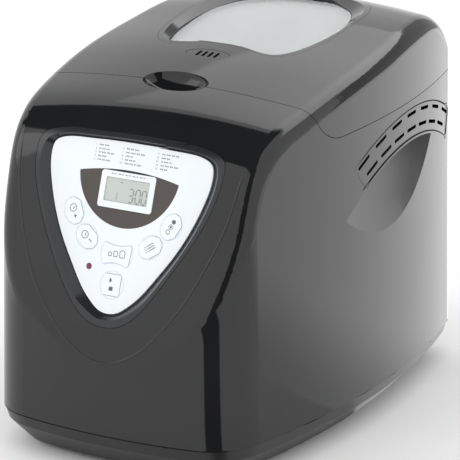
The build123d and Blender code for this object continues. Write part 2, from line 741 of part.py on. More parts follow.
def pulley(y, radius, hub_r, shaft_radius, spokes):
    """Flat belt pulley with two rims, on a shaft."""
    z0 = plate_z - 14
    rims = rod(0, y, z0, z0 + 1.2, radius + 2.6) + rod(0, y, z0 + 8.8, z0 + 10, radius + 2.6)
    wheel = rod(0, y, z0, z0 + 10, radius) + rims
    if spokes:
        wheel = wheel - (rod(0, y, z0 + 3, z0 + 11, radius - 4) - rod(0, y, z0, z0 + 11, hub_r))
        for i in range(spokes):
            angle = 360 * i / spokes
            hole = Pos(0, y) * Rot(0, 0, angle) * Pos((radius - 4 + hub_r) / 2, 0) * Circle((radius - 8 - hub_r) / 2)
            wheel = wheel - upright(hole, z0 - 1, z0 + 4)
    return wheel - rod(0, y, z0 - 1, z0 + 11, shaft_radius)


def drive_belt():
    """Flat belt around both pulleys."""
    def loop(extra):
        r1 = small_pulley_r + extra
        r2 = large_pulley_r + extra
        lean = asin((r2 - r1) / belt_span)
        pts = []
        for side in (1, -1):
            pair = [(side * r * cos(lean), y - r * sin(lean)) for r, y in ((r1, motor_y), (r2, pan_y))]
            pts = pts + (pair if side == 1 else pair[::-1])
        return Polygon(*pts, align=None) + Pos(0, motor_y) * Circle(r1) + Pos(0, pan_y) * Circle(r2)
    return upright(loop(1.7) - loop(0.4), plate_z - 12.4, plate_z - 5.6)


def drive_shaft():
    """Shaft from the large pulley up into the chamber, with a flat bar that turns the pan's coupling."""
    shaft = rod(0, pan_y, plate_z - 16, chamber_floor + 5, shaft_r)
    hub = rod(0, pan_y, chamber_floor + 1.4, chamber_floor + 5, 7)
    return shaft + hub + block(-13, 13, pan_y - 3, pan_y + 3, chamber_floor + 1.4, chamber_floor + 6)


def motor_stator():
    """Laminated stack with a round bore."""
    stack = upright(Pos(0, motor_y) * rounded(motor_size / 2, motor_size / 2, 8), plate_z + 16, plate_z + 48)
    stack = stack - rod(0, motor_y, plate_z, plate_z + 60, 17.5)
    for x in (-1, 1):
        for y in (-1, 1):
            stack = stack - rod(27 * x, motor_y + 27 * y, plate_z, plate_z + 60, 1.9)
    return stack


def motor_windings():
    """Copper end turns above and below the stack."""
    rings = []
    for z0 in (plate_z + 10, plate_z + 48):
        ring = rod(0, motor_y, z0, z0 + 6, 24) - rod(0, motor_y, z0 - 1, z0 + 7, 18.5)
        rings.append(fillet(ring.edges().filter_by(GeomType.CIRCLE), 1.6))
    return rings


def motor_bracket(upper):
    """End bracket with a bearing and four posts."""
    z0 = plate_z + 56 if upper else plate_z + 5
    z1 = z0 + 3
    face = Pos(0, motor_y) * rounded(motor_size / 2 - 1, 11, 4)
    face = face + Pos(0, motor_y) * rounded(11, motor_size / 2 - 1, 4)
    for x in (-1, 1):
        for y in (-1, 1):
            face = face + Pos(27 * x, motor_y + 27 * y) * Circle(5)
    face = face + Pos(0, motor_y) * (rounded(30, 30, 8) - rounded(24, 24, 5))
    part = upright(face, z0, z1) + rod(0, motor_y, z0 - 2, z1 + 1, 8)
    reach = (plate_z + 48, z0 + 1) if upper else (plate_z + plate_t, plate_z + 16)
    for x in (-1, 1):
        for y in (-1, 1):
            part = part + rod(27 * x, motor_y + 27 * y, reach[0], reach[1], 4.5)
            part = part - rod(27 * x, motor_y + 27 * y, plate_z, plate_z + 62, 1.9)
    return part - rod(0, motor_y, plate_z, plate_z + 64, 3.05)


def motor_bolts():
    """Four long bolts through both brackets, the stack and the plate."""
    bolts = []
    for x in (-1, 1):
        for y in (-1, 1):
            shank = rod(27 * x, motor_y + 27 * y, plate_z - 4, plate_z + 60, 1.75)
            head = upright(Pos(27 * x, motor_y + 27 * y) * RegularPolygon(3.4, 6), plate_z + 59, plate_z + 62)
            nut = upright(Pos(27 * x, motor_y + 27 * y) * RegularPolygon(3.4, 6), plate_z - 3, plate_z)
            bolts.append(shank + head + nut)
    return bolts


def motor_rotor():
    """Rotor core on its long shaft."""
    return rod(0, motor_y, plate_z + 17, plate_z + 47, 17) + rod(0, motor_y, plate_z - 16, plate_z + 76, 3)


def motor_fan():
    """Cooling fan on top of the motor shaft."""
    fan = rod(0, motor_y, plate_z + 65, plate_z + 75, 6)
    for i in range(7):
        blade = Pos(16, 0, plate_z + 70) * Rot(32, 0, 0) * Box(23, 1.4, 10)
        fan = fan + Pos(0, motor_y) * Rot(0, 0, 360 * i / 7) * blade
    return fan - rod(0, motor_y, plate_z + 60, plate_z + 80, 3)


def run_capacitor():
    """Motor capacitor standing on the plate on its stud."""
    can = rod(58, motor_y, plate_z + plate_t + 2, plate_z + 46, 15)
    can = fillet(can.edges().filter_by(GeomType.CIRCLE), 1.5)
    can = can + rod(58, motor_y, plate_z + plate_t, plate_z + 4.5, 8)
    for x in (52, 62):
        can = can + block(x, x + 2, motor_y - 3, motor_y + 3, plate_z + 45, plate_z + 54)
    return can


def power_board():
    """Upright supply board left of the motor, with transformer, relays and terminal block."""
    y = motor_y
    board = block(-64, -62.4, y - 34, y + 36, plate_z + 12, plate_z + 78)
    board = board + block(-62.6, -42, y - 2, y + 30, plate_z + 44, plate_z + 74)
    board = board + block(-62.6, -46, y - 30, y - 12, plate_z + 52, plate_z + 66)
    board = board + block(-62.6, -46, y - 30, y - 12, plate_z + 28, plate_z + 42)
    return board + block(-62.6, -52, y + 2, y + 32, plate_z + 16, plate_z + 26)


def cord_gland():
    """Ribbed cord inlet in the rear wall."""
    y = rear_y
    tube = Pos(-60, y - 6, 56) * Rot(90, 0, 0) * Cylinder(6.6, 26)
    collar = Pos(-60, y + 2, 56) * Rot(90, 0, 0) * Cylinder(9.4, 5)
    bore = Pos(-60, y, 56) * Rot(90, 0, 0) * Cylinder(3.6, 60)
    return tube + collar - bore


def bread_pan():
    """Pan with a rolled rim, a hole for the bush and a foot ring."""
    face = Pos(0, pan_y) * rounded(pan_x, pan_half_y, 26)
    inner = Pos(0, pan_y) * rounded(pan_x - 1.5, pan_half_y - 1.5, 24.5)
    body = upright(face, pan_floor, pan_top) - upright(inner, pan_floor + 1.5, pan_top + 5)
    rim = plate_ring(pan_x + 3.6, pan_half_y + 3.6, pan_x - 1.5, pan_half_y - 1.5, 29.6, 24.5, pan_top - 1.4, pan_top)
    foot = rod(0, pan_y, chamber_floor + 5, pan_floor + 0.5, 46) - rod(0, pan_y, chamber_floor, pan_floor, 44)
    return body + rim + foot - rod(0, pan_y, pan_floor - 1, pan_floor + 3, 11)


def pan_ears():
    """Riveted pivot plates for the bail handle, one on each long side."""
    ears = []
    for side in (-1, 1):
        x0, x1 = sorted((side * pan_x, side * (pan_x + 2.4)))
        plate = block(x0, x1, pan_y - 11, pan_y + 11, pan_top - 26, pan_top - 4)
        plate = fillet(plate.edges().filter_by(Axis.X), 5)
        hole = Pos((x0 + x1) / 2, pan_y, pan_top - 9) * Rot(0, 90, 0) * Cylinder(2.3, 12)
        ears.append(plate - hole)
    return ears


def pan_handle():
    """Bail handle with a thicker grip, folded flat around the rear half of the pan."""
    z = pan_top - 9
    x = pan_x + 8.4
    end = pan_x + 0.5
    y = pan_y + pan_half_y + 10
    points = [(end, pan_y, z), (x, pan_y, z), (x, y, z), (-x, y, z), (-x, pan_y, z), (-end, pan_y, z)]
    path = FilletPolyline(*points, radius=4.5)
    bail = sweep(Plane(origin=(end, pan_y, z), z_dir=(1, 0, 0)) * Circle(2.2), path=path)
    return bail + Pos(0, y, z) * Rot(0, 90, 0) * Cylinder(3.6, 56)


def pan_bush():
    """Bearing bush with a lip seal in the pan's floor."""
    bush = rod(0, pan_y, pan_floor - 7, pan_floor + 4, 11) + rod(0, pan_y, pan_floor - 4, pan_floor, 14)
    return bush - rod(0, pan_y, pan_floor - 10, pan_floor + 8, shaft_r + 0.05)


def pan_shaft():
    """Paddle shaft with a flat at the top and a wing coupling under the pan."""
    shaft = rod(0, pan_y, pan_floor - 11, pan_floor + 24, shaft_r)
    shaft = shaft - block(-6, 6, pan_y + 2.8, pan_y + 8, pan_floor + 10, pan_floor + 30)
    disc = rod(0, pan_y, pan_floor - 10.6, pan_floor - 7.6, 15)
    for side in (-1, 1):
        disc = disc + block(side * 10 - 2.5, side * 10 + 2.5, pan_y + side * 5.8 - 2, pan_y + side * 5.8 + 2,
                            chamber_floor + 2.4, pan_floor - 9)
    return shaft + disc


def kneading_paddle():
    """Paddle: hub on the shaft's flat and a swept blade."""
    z0 = pan_floor + 6
    hub = rod(0, pan_y, z0, z0 + 16, 8.5)
    blade = Polygon((0, 0), (38, 0), (41, 5), (34, 20), (22, 27), (10, 24), (0, 12), align=None)
    blade = fillet(blade.vertices().filter_by_position(Axis.X, 20, 50), 2.5)
    blade = extrude(Plane.XZ * blade, amount=2.6, both=True)
    part = hub + Pos(0, pan_y, z0) * blade
    bore = rod(0, pan_y, z0 - 1, z0 + 30, shaft_r + 0.08)
    bore = bore - block(-6, 6, pan_y + 2.9, pan_y + 8, pan_floor + 10, z0 + 40)
    return part - bore


def save(name, shape):
    """Write one node as a STEP file; a list becomes a group of separate solids."""
    if isinstance(shape, (list, tuple)):
        solids = []
        for item in shape:
            solids = solids + list(item.solids())
        shape = Compound(children=solids)
    elif len(shape.solids()) == 1:
        shape = shape.solids()[0]
    else:
        print("solids:", name, [round(s.volume) for s in shape.solids()])
    shape.label = name
    export_step(shape, "parts/" + name + ".step")


save("body_shell", body_with_hinge())
save("base_tray", base_tray())
save("rubber_feet", rubber_feet())
save("case_screws", case_screws())
save("hinge_pins", hinge_pins())
save("vent_insert_left", vent_insert(-1))
save("vent_insert_right", vent_insert(1))
save("lid_shell", lid_shell())
save("lid_liner", lid_liner())
save("inner_window", inner_window())
save("window_duct", window_duct())
save("window_bezel", window_bezel())
save("lid_window", lid_window())
save("lid_vent_grille", lid_vent_grille())
save("panel_bezel", panel_bezel())
save("fascia_panel", fascia_panel())
save("display_field", display_field())
save("lcd_frame", lcd_frame())
save("lcd_module", lcd_module())
save("led_indicator", led_indicator())
for i, key in enumerate(key_faces()):
    save("key_" + key[0], key_cap(i))
save("key_switches", key_switches())
save("control_board", control_board())
save("board_screws", board_screws())
save("chassis_plate", chassis_plate())
save("chassis_screws", chassis_screws())
save("baking_chamber", chamber())
save("chamber_legs", chamber_legs())
save("oven_rim", oven_rim())
save("heating_element", heating_element())
save("heater_terminals", heater_terminals())
save("heater_clips", heater_clips())
save("temperature_sensor", temperature_sensor())
save("thermal_fuse", thermal_fuse())
save("pan_socket", pan_socket())
save("bearing_housing", bearing_housing())
save("drive_shaft", drive_shaft())
save("large_pulley", pulley(pan_y, large_pulley_r, 12, shaft_r, 6))
save("drive_belt", drive_belt())
save("motor_pulley", pulley(motor_y, small_pulley_r, 6, 3, 0))
save("motor_rotor", motor_rotor())
save("motor_fan", motor_fan())
save("motor_stator", motor_stator())
save("motor_windings", motor_windings())
save("motor_brackets", [motor_bracket(False), motor_bracket(True)])
save("motor_bolts", motor_bolts())
save("run_capacitor", run_capacitor())
save("power_board", power_board())
save("cord_gland", cord_gland())
save("bread_pan", bread_pan())
save("pan_ears", pan_ears())
save("pan_handle", pan_handle())
save("pan_bush", pan_bush())
save("pan_shaft", pan_shaft())
save("kneading_paddle", kneading_paddle())
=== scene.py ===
import bpy
import json
import math
import numpy as np
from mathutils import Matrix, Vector


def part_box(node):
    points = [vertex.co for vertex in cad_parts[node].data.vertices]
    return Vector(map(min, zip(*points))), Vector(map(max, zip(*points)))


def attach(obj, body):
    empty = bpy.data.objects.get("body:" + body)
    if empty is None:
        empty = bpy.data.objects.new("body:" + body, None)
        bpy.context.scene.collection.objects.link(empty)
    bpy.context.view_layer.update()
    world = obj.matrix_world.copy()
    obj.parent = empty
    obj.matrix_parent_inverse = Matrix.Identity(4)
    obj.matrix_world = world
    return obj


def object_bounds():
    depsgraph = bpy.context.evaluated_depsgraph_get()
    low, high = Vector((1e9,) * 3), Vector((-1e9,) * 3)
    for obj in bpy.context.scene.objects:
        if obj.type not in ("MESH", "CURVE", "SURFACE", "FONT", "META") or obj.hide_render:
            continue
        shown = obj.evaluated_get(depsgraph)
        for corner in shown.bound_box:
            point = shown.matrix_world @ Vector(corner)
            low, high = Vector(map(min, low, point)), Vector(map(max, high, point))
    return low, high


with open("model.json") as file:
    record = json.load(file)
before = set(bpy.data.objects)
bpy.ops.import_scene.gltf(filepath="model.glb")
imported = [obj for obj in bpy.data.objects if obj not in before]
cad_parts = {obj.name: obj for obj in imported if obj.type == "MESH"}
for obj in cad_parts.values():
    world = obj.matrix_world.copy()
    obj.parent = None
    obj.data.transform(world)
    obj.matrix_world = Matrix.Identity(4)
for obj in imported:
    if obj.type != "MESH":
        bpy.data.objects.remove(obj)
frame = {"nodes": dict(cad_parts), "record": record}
cad_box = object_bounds()
nodes = frame["nodes"]
record = frame["record"]

# The control panel leans back by the tilt. Panel coordinates start at the base seam and run up the slope.
tilt = math.radians(18.5)
base_seam_height = 0.030
panel_tip_up = 0.0938  # from the base seam up the slope to the white panel's lower tip
panel_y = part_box("fascia_panel")[0][1] - panel_tip_up * math.sin(tilt)
panel_origin = np.array([0.0, panel_y, base_seam_height])
panel_up = np.array([0.0, math.sin(tilt), math.cos(tilt)])
panel_out = np.array([0.0, -math.cos(tilt), math.sin(tilt)])


# ---------------------------------------------------------------- materials

def new_finish(name):
    """A new material with its node tree and its shader."""
    material = bpy.data.materials.new(name)
    material.use_nodes = True
    graph = material.node_tree.nodes
    return material, graph, material.node_tree.links, graph["Principled BSDF"]


pattern_low, pattern_high = 0.3, 0.7  # the part of a noise pattern's range that is used
slow_scale = 9  # a patch of colour is about a tenth of a metre across
grain_strength = 0.35
clear_coat_rough = 0.03


def noise(graph, links, scale, detail, stretch=(1, 1, 1)):
    """Noise on Object coordinates, with a stretch along the three axes."""
    place = graph.new("ShaderNodeTexCoord")
    mapping = graph.new("ShaderNodeMapping")
    mapping.inputs["Scale"].default_value = stretch
    pattern = graph.new("ShaderNodeTexNoise")
    pattern.inputs["Scale"].default_value = scale
    pattern.inputs["Detail"].default_value = detail
    links.new(place.outputs["Object"], mapping.inputs["Vector"])
    links.new(mapping.outputs["Vector"], pattern.inputs["Vector"])
    return pattern.outputs["Fac"]


def spread(graph, links, value, least, most):
    """A pattern mapped to a range: least at pattern_low, most at pattern_high, in a straight line between."""
    mapped = graph.new("ShaderNodeMapRange")
    mapped.inputs["From Min"].default_value = pattern_low
    mapped.inputs["From Max"].default_value = pattern_high
    mapped.inputs["To Min"].default_value = least
    mapped.inputs["To Max"].default_value = most
    links.new(value, mapped.inputs["Value"])
    return mapped.outputs["Result"]


def tint(graph, links, value, first, second):
    """Colour that runs from the first at pattern_low to the second at pattern_high."""
    ramp = graph.new("ShaderNodeValToRGB")
    ramp.color_ramp.elements[0].position = pattern_low
    ramp.color_ramp.elements[0].color = (*first, 1)
    ramp.color_ramp.elements[1].position = pattern_high
    ramp.color_ramp.elements[1].color = (*second, 1)
    links.new(value, ramp.inputs["Fac"])
    return ramp.outputs["Color"]


def relief(graph, links, value, strength, distance):
    """Small surface relief: the pattern raises the surface by up to the distance, times the strength."""
    bump = graph.new("ShaderNodeBump")
    bump.inputs["Strength"].default_value = strength
    bump.inputs["Distance"].default_value = distance
    links.new(value, bump.inputs["Height"])
    return bump.outputs["Normal"]


def surface(name, first, second, rough, grain, depth, metal=0.0, coat=0.0, specular=0.5, stretch=(1, 1, 1)):
    """Moulded plastic, rubber or metal.

    The colour runs slowly between two, the roughness varies over its range with the grain, and the same grain
    raises the surface by its depth in metres. Stretch draws the grain out along an axis, as on brushed metal."""
    material, graph, links, shader = new_finish(name)
    slow = noise(graph, links, slow_scale, 3, stretch)
    fine = noise(graph, links, grain, 4, stretch)
    links.new(tint(graph, links, slow, first, second), shader.inputs["Base Color"])
    links.new(spread(graph, links, fine, rough[0], rough[1]), shader.inputs["Roughness"])
    links.new(relief(graph, links, fine, grain_strength, depth), shader.inputs["Normal"])
    shader.inputs["Metallic"].default_value = metal
    shader.inputs["Coat Weight"].default_value = coat
    shader.inputs["Coat Roughness"].default_value = clear_coat_rough
    shader.inputs["Specular IOR Level"].default_value = specular
    return material


def glass(name, colour, rough, alpha):
    """Thin window pane: see-through, glossy and a little milky, its colour and roughness varied slightly."""
    material, graph, links, shader = new_finish(name)
    slow = noise(graph, links, 14, 2)
    fine = noise(graph, links, 420, 3)
    darker = tuple(c * 0.94 for c in colour)
    links.new(tint(graph, links, slow, darker, colour), shader.inputs["Base Color"])
    links.new(spread(graph, links, fine, rough, rough * 1.8), shader.inputs["Roughness"])
    shader.inputs["Alpha"].default_value = alpha
    return material


finishes = {
    "gloss_black": surface("housing gloss black", (0.0095, 0.0098, 0.0105), (0.013, 0.0135, 0.0145),
        (0.055, 0.1), 900, 0.000004),
    "trim_black": surface("trim gloss black", (0.0085, 0.0088, 0.0095), (0.012, 0.0124, 0.0132),
        (0.06, 0.11), 900, 0.000004),
    "bezel_black": surface("bezel black", (0.016, 0.017, 0.019), (0.021, 0.022, 0.0245),
        (0.12, 0.2), 1100, 0.000006),
    "tray_black": surface("base black", (0.009, 0.009, 0.0095), (0.014, 0.014, 0.015),
        (0.3, 0.42), 1500, 0.00002),
    "foot_rubber": surface("foot rubber", (0.012, 0.012, 0.012), (0.02, 0.02, 0.02),
        (0.65, 0.85), 1300, 0.00004),
    "liner_grey": surface("lid liner grey", (0.05, 0.05, 0.052), (0.065, 0.065, 0.067),
        (0.3, 0.42), 1400, 0.00002),
    "duct_white": surface("duct white", (0.62, 0.6, 0.56), (0.72, 0.7, 0.67),
        (0.25, 0.38), 700, 0.00001),
    "window_glass": glass("window pane", (0.84, 0.87, 0.88), 0.08, 0.42),
    "fascia_white": surface("panel white", (0.76, 0.8, 0.83), (0.8, 0.835, 0.86),
        (0.36, 0.46), 1800, 0.000006),
    "key_white": surface("key white", (0.77, 0.81, 0.84), (0.81, 0.845, 0.87),
        (0.34, 0.44), 1700, 0.000006),
    "display_dark": surface("display field", (0.05, 0.041, 0.036), (0.068, 0.057, 0.05),
        (0.12, 0.2), 900, 0.000004),
    "lcd": surface("display glass", (0.46, 0.5, 0.46), (0.52, 0.56, 0.52),
        (0.16, 0.26), 900, 0.000003),
    "lamp_red": surface("lamp lens", (0.14, 0.01, 0.025), (0.2, 0.015, 0.035),
        (0.1, 0.18), 700, 0.000004, coat=0.6),
    "board_green": surface("circuit board", (0.01, 0.07, 0.03), (0.02, 0.1, 0.045),
        (0.3, 0.45), 500, 0.00003),
    "switch_black": surface("switch black", (0.02, 0.02, 0.02), (0.03, 0.03, 0.03),
        (0.4, 0.55), 900, 0.00002),
    "screw_steel": surface("screw steel", (0.5, 0.5, 0.5), (0.6, 0.6, 0.6),
        (0.25, 0.4), 1200, 0.00001, metal=1.0),
    "pin_steel": surface("pin steel", (0.5, 0.5, 0.51), (0.62, 0.62, 0.63),
        (0.2, 0.32), 1200, 0.00001, metal=1.0, stretch=(0.2, 1, 1)),
    "sheet_steel": surface("sheet steel", (0.48, 0.49, 0.5), (0.6, 0.61, 0.62),
        (0.28, 0.45), 600, 0.00001, metal=1.0, stretch=(1, 0.15, 1)),
    "chamber_steel": surface("chamber steel", (0.45, 0.45, 0.45), (0.58, 0.58, 0.57),
        (0.3, 0.45), 500, 0.00001, metal=1.0, stretch=(1, 1, 0.15)),
    "heater_tube": surface("heater tube", (0.09, 0.085, 0.08), (0.16, 0.15, 0.14),
        (0.4, 0.6), 900, 0.00002, metal=0.8),
    "ceramic": surface("ceramic", (0.7, 0.67, 0.6), (0.78, 0.75, 0.69),
        (0.5, 0.7), 900, 0.00002),
    "clip_steel": surface("clip steel", (0.45, 0.46, 0.47), (0.57, 0.58, 0.59),
        (0.3, 0.45), 900, 0.00001, metal=1.0),
    "probe_steel": surface("probe steel", (0.5, 0.5, 0.5), (0.6, 0.6, 0.6),
        (0.25, 0.4), 900, 0.00001, metal=1.0),
    "bearing_bronze": surface("bearing bronze", (0.45, 0.3, 0.13), (0.56, 0.4, 0.2),
        (0.3, 0.45), 700, 0.00001, metal=1.0),
    "shaft_steel": surface("shaft steel", (0.5, 0.5, 0.52), (0.62, 0.62, 0.64),
        (0.2, 0.32), 900, 0.00001, metal=1.0),
    "pulley_plastic": surface("pulley plastic", (0.52, 0.5, 0.44), (0.6, 0.58, 0.52),
        (0.4, 0.55), 900, 0.00002),
    "belt_rubber": surface("belt rubber", (0.015, 0.015, 0.015), (0.025, 0.025, 0.025),
        (0.6, 0.8), 1400, 0.00003),
    "lamination": surface("laminated iron", (0.2, 0.2, 0.21), (0.3, 0.3, 0.31),
        (0.35, 0.5), 1500, 0.00003, metal=1.0, stretch=(0.1, 0.1, 3)),
    "copper_wire": surface("copper wire", (0.5, 0.2, 0.07), (0.62, 0.28, 0.12),
        (0.25, 0.4), 1500, 0.00005, metal=1.0, stretch=(0.2, 0.2, 3)),
    "capacitor_white": surface("capacitor white", (0.66, 0.66, 0.63), (0.74, 0.74, 0.71),
        (0.25, 0.35), 800, 0.00001),
    "gland_black": surface("gland black", (0.015, 0.015, 0.015), (0.025, 0.025, 0.025),
        (0.5, 0.7), 1300, 0.00003),
    "pan_coating": surface("pan coating", (0.05, 0.05, 0.053), (0.075, 0.075, 0.078),
        (0.34, 0.5), 2200, 0.00003, metal=0.4),
    "ear_steel": surface("ear steel", (0.5, 0.5, 0.5), (0.6, 0.6, 0.6),
        (0.25, 0.4), 900, 0.00001, metal=1.0),
    "handle_steel": surface("handle steel", (0.62, 0.62, 0.63), (0.72, 0.72, 0.73),
        (0.12, 0.22), 900, 0.000006, metal=1.0),
    "paddle_coating": surface("paddle coating", (0.03, 0.03, 0.032), (0.05, 0.05, 0.052),
        (0.34, 0.5), 2200, 0.00003, metal=0.4),
}

slot_of = {entry["node"]: entry["material_slot"] for entry in record["subparts"]}
for name, piece in nodes.items():
    finish = finishes[slot_of[name]]
    if piece.material_slots:
        for holder in piece.material_slots:
            holder.material = finish
    else:
        piece.data.materials.append(finish)


# ---------------------------------------------------------------- surface helpers

def panel_point(across, up, out):
    """Place on the sloping panel: millimetres across, up the slope and out of the face."""
    across, up, out = np.broadcast_arrays(np.asarray(across, float), up, out)
    sideways = across[..., None] * np.array([1.0, 0.0, 0.0])
    return panel_origin + 0.001 * (sideways + up[..., None] * panel_up + out[..., None] * panel_out)


def vertices_of(mesh):
    """All vertices of a mesh as one array (vertices, 3)."""
    spots = np.empty(len(mesh.vertices) * 3)
    mesh.vertices.foreach_get("co", spots)
    return spots.reshape(-1, 3)


def evenly(line, count, closed=False):
    """Points at equal steps of length along a line of points.

    A closed line repeats its first point at its end, and the points taken from it don't."""
    run = np.concatenate([[0], np.cumsum(np.linalg.norm(np.diff(line, axis=0), axis=1))])
    even = np.linspace(0, run[-1], count, endpoint=not closed)
    return np.stack([np.interp(even, run, line[:, i]) for i in range(line.shape[1])], 1)


def across_path(path):
    """Outward unit vectors square to a closed level path: the direction along it (x, y) turned to (y, -x)."""
    along = np.roll(path, -1, 0) - np.roll(path, 1, 0)
    out = np.zeros_like(path)
    out[:, 0], out[:, 1] = along[:, 1], -along[:, 0]
    return out / np.linalg.norm(out, axis=1)[:, None]


def add_piece(name, points, faces, finish, body, smooth=True):
    """Puts a mesh into the scene with its finish and hangs it on its body."""
    mesh = bpy.data.meshes.new(name)
    mesh.from_pydata(points.reshape(-1, 3).tolist(), [], faces)
    mesh.validate()
    mesh.polygons.foreach_set("use_smooth", [smooth] * len(mesh.polygons))
    piece = bpy.data.objects.new(name, mesh)
    bpy.context.scene.collection.objects.link(piece)
    mesh.materials.append(finish)
    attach(piece, body)
    return piece


def loop_faces(rows, columns):
    """Quads of a grid that closes on itself both ways (a ring with a closed section)."""
    i, j = np.meshgrid(np.arange(rows), np.arange(columns), indexing="ij")
    i2, j2 = (i + 1) % rows, (j + 1) % columns
    quads = np.stack([i * columns + j, i2 * columns + j, i2 * columns + j2, i * columns + j2], -1)
    return quads.reshape(-1, 4)


def ring_along(path, outward, lift, section):
    """Section carried along a path: point = path + a * outward + b * lift for each of the section's (a, b)."""
    a, b = np.array(section, float).T
    return path[:, None, :] + a[None, :, None] * outward[:, None, :] + b[None, :, None] * lift[:, None, :]


def pillows(centres, half_long, half_wide, angles, base, height, power=4.0, around=20):
    """Small raised marks: the closed curve |x/a|^p + |y/b|^p = 1 in four rings, with a pole above and below.

    Two full-size rings make the side, a smaller one below and one above round it off. Returns panel coordinates
    (marks, points, 3) and the faces of all marks."""
    centres = np.asarray(centres, float)
    half_long, half_wide, angles = np.broadcast_arrays(
        np.asarray(half_long, float), half_wide, angles)
    t = np.linspace(0, 2 * math.pi, around, endpoint=False)
    cx = np.sign(np.cos(t)) * np.abs(np.cos(t)) ** (2 / power)
    cy = np.sign(np.sin(t)) * np.abs(np.sin(t)) ** (2 / power)
    scale = np.array([0.9, 1.0, 1.0, 0.9])
    level = np.array([-0.02, 0.0, 0.6 * height, height]) + base
    x = half_long[:, None, None] * cx * scale[None, :, None]
    y = half_wide[:, None, None] * cy * scale[None, :, None]
    c, s = np.cos(angles)[:, None, None], np.sin(angles)[:, None, None]
    u = centres[:, 0, None, None] + x * c - y * s
    h = centres[:, 1, None, None] + x * s + y * c
    n = np.broadcast_to(level[None, :, None], u.shape)
    rings = np.stack([u, h, n], -1).reshape(len(centres), -1, 3)
    low_pole = np.concatenate([centres, np.full((len(centres), 1), level[0])], 1)[:, None, :]
    high_pole = np.concatenate([centres, np.full((len(centres), 1), level[-1])], 1)[:, None, :]
    points = np.concatenate([rings, low_pole, high_pole], 1)
    per_mark = 4 * around + 2
    k = np.arange(around)
    k2 = (k + 1) % around
    sides = np.concatenate([np.stack([r * around + k, r * around + k2, (r + 1) * around + k2, (r + 1) * around + k],
                                     1) for r in range(3)])
    under = np.stack([np.full(around, 4 * around), k2, k], 1)
    over = np.stack([np.full(around, 4 * around + 1), 3 * around + k, 3 * around + k2], 1)
    shift = (np.arange(len(centres)) * per_mark)[:, None, None]
    quads = (sides[None] + shift).reshape(-1, 4).tolist()
    fans = (np.concatenate([under, over])[None] + shift).reshape(-1, 3).tolist()
    return points, quads + fans


def marks(name, rows, base, finish, body, height=0.05, power=4.0):
    """Marks on the panel, one pillow for each row (across, up, half length, half width, angle in degrees)."""
    rows = np.array(rows, float)
    points, faces = pillows(rows[:, :2], rows[:, 2], rows[:, 3], np.radians(rows[:, 4]), base, height, power)
    placed = panel_point(points[..., 0], points[..., 1], points[..., 2])
    return add_piece(name, placed, faces, finish, body)


def shifted(rows, across=0.0, up=0.0, scale=1.0):
    """Rows of marks with places and lengths scaled, then shifted; the stroke's width stays."""
    return [(u * scale + across, h * scale + up, length * scale, width, angle)
            for u, h, length, width, angle in rows]


def turned(rows, centre, turn):
    """Rows of marks given about (0, 0), turned by an angle in degrees and set at a centre."""
    c, s = math.cos(math.radians(turn)), math.sin(math.radians(turn))
    return [(centre[0] + u * c - h * s, centre[1] + u * s + h * c, length, width, angle + turn)
            for u, h, length, width, angle in rows]


chord_overlap = 1.15  # each chord reaches a little into the next


def circle_marks(radius, width, count=14, first=0.0, turn=360.0):
    """Short marks that join up into a circle or an arc, each a chord square to the radius at its middle angle."""
    step = turn / count
    half = math.radians(step / 2) * radius * chord_overlap
    middles = [first + step * (i + 0.5) for i in range(count)]
    return [(radius * math.cos(math.radians(a)), radius * math.sin(math.radians(a)), half, width, a + 90)
            for a in middles]


def node_outline(node, count, top=0.45):
    """Rim of a key's face in panel coordinates, with its middle and outward directions.

    The vertices higher than top are sorted by angle round the middle. The rim is their distance from the middle
    as a function of the angle, set at equal steps."""
    spots = vertices_of(nodes[node].data) - panel_origin
    across, up, out = spots[:, 0] * 1000, spots @ panel_up * 1000, spots @ panel_out * 1000
    u, h = across[out > top], up[out > top]
    mid = np.array([(u.min() + u.max()) / 2, (h.min() + h.max()) / 2])
    angle = np.arctan2(h - mid[1], u - mid[0])
    distance = np.hypot(h - mid[1], u - mid[0])
    order = np.argsort(angle)
    angle, distance = angle[order], distance[order]
    t = np.linspace(-math.pi, math.pi, 721)
    reach = np.interp(t, angle, distance, period=2 * math.pi)
    rim = np.stack([mid[0] + reach * np.cos(t), mid[1] + reach * np.sin(t)], 1)
    path = evenly(rim, count, closed=True)
    return mid, path, across_path(path)


ring_sunk = 0.05  # millimetres


def panel_ring(name, path, out, offset, half, foot, crown, finish, body):
    """Low ring beside an outline on the panel.

    Its section is a half ellipse, from foot up to crown, on a short straight wall that goes into the panel."""
    t = np.linspace(0, math.pi, 6)
    section = [(offset + half * math.cos(a), foot + (crown - foot) * math.sin(a)) for a in t]
    section += [(offset - half, foot - ring_sunk), (offset + half, foot - ring_sunk)]
    a, b = np.array(section).T
    flat = path[:, None, :] + a[None, :, None] * out[:, None, :]
    level = np.broadcast_to(b[None, :], flat.shape[:2])
    points = panel_point(flat[..., 0], flat[..., 1], level)
    return add_piece(name, points, loop_faces(len(path), len(section)).tolist(), finish, body)


# ---------------------------------------------------------------- panel artwork

outline_finish = surface("key outline", (0.6, 0.66, 0.74), (0.66, 0.72, 0.8), (0.4, 0.5), 1500, 0.000004)
print_finish = surface("legend print", (0.09, 0.095, 0.105), (0.13, 0.135, 0.145), (0.45, 0.55), 1200, 0.000004)
digit_finish = surface("display digits", (0.2, 0.22, 0.2), (0.25, 0.27, 0.25), (0.3, 0.4), 900, 0.000003)

key_names = [name for name in nodes if name.startswith("key_") and name != "key_switches"]
key_mid = {}
outline_points = 96
for name in key_names:
    mid, path, out = node_outline(name, outline_points)
    key_mid[name] = mid
    panel_ring(name + "_outline", path, out, 0.5, 0.32, -0.01, 0.1, outline_finish, "housing")
    panel_ring(name + "_gap", path, out, 0.15, 0.14, -0.3, -0.08, outline_finish, "housing")

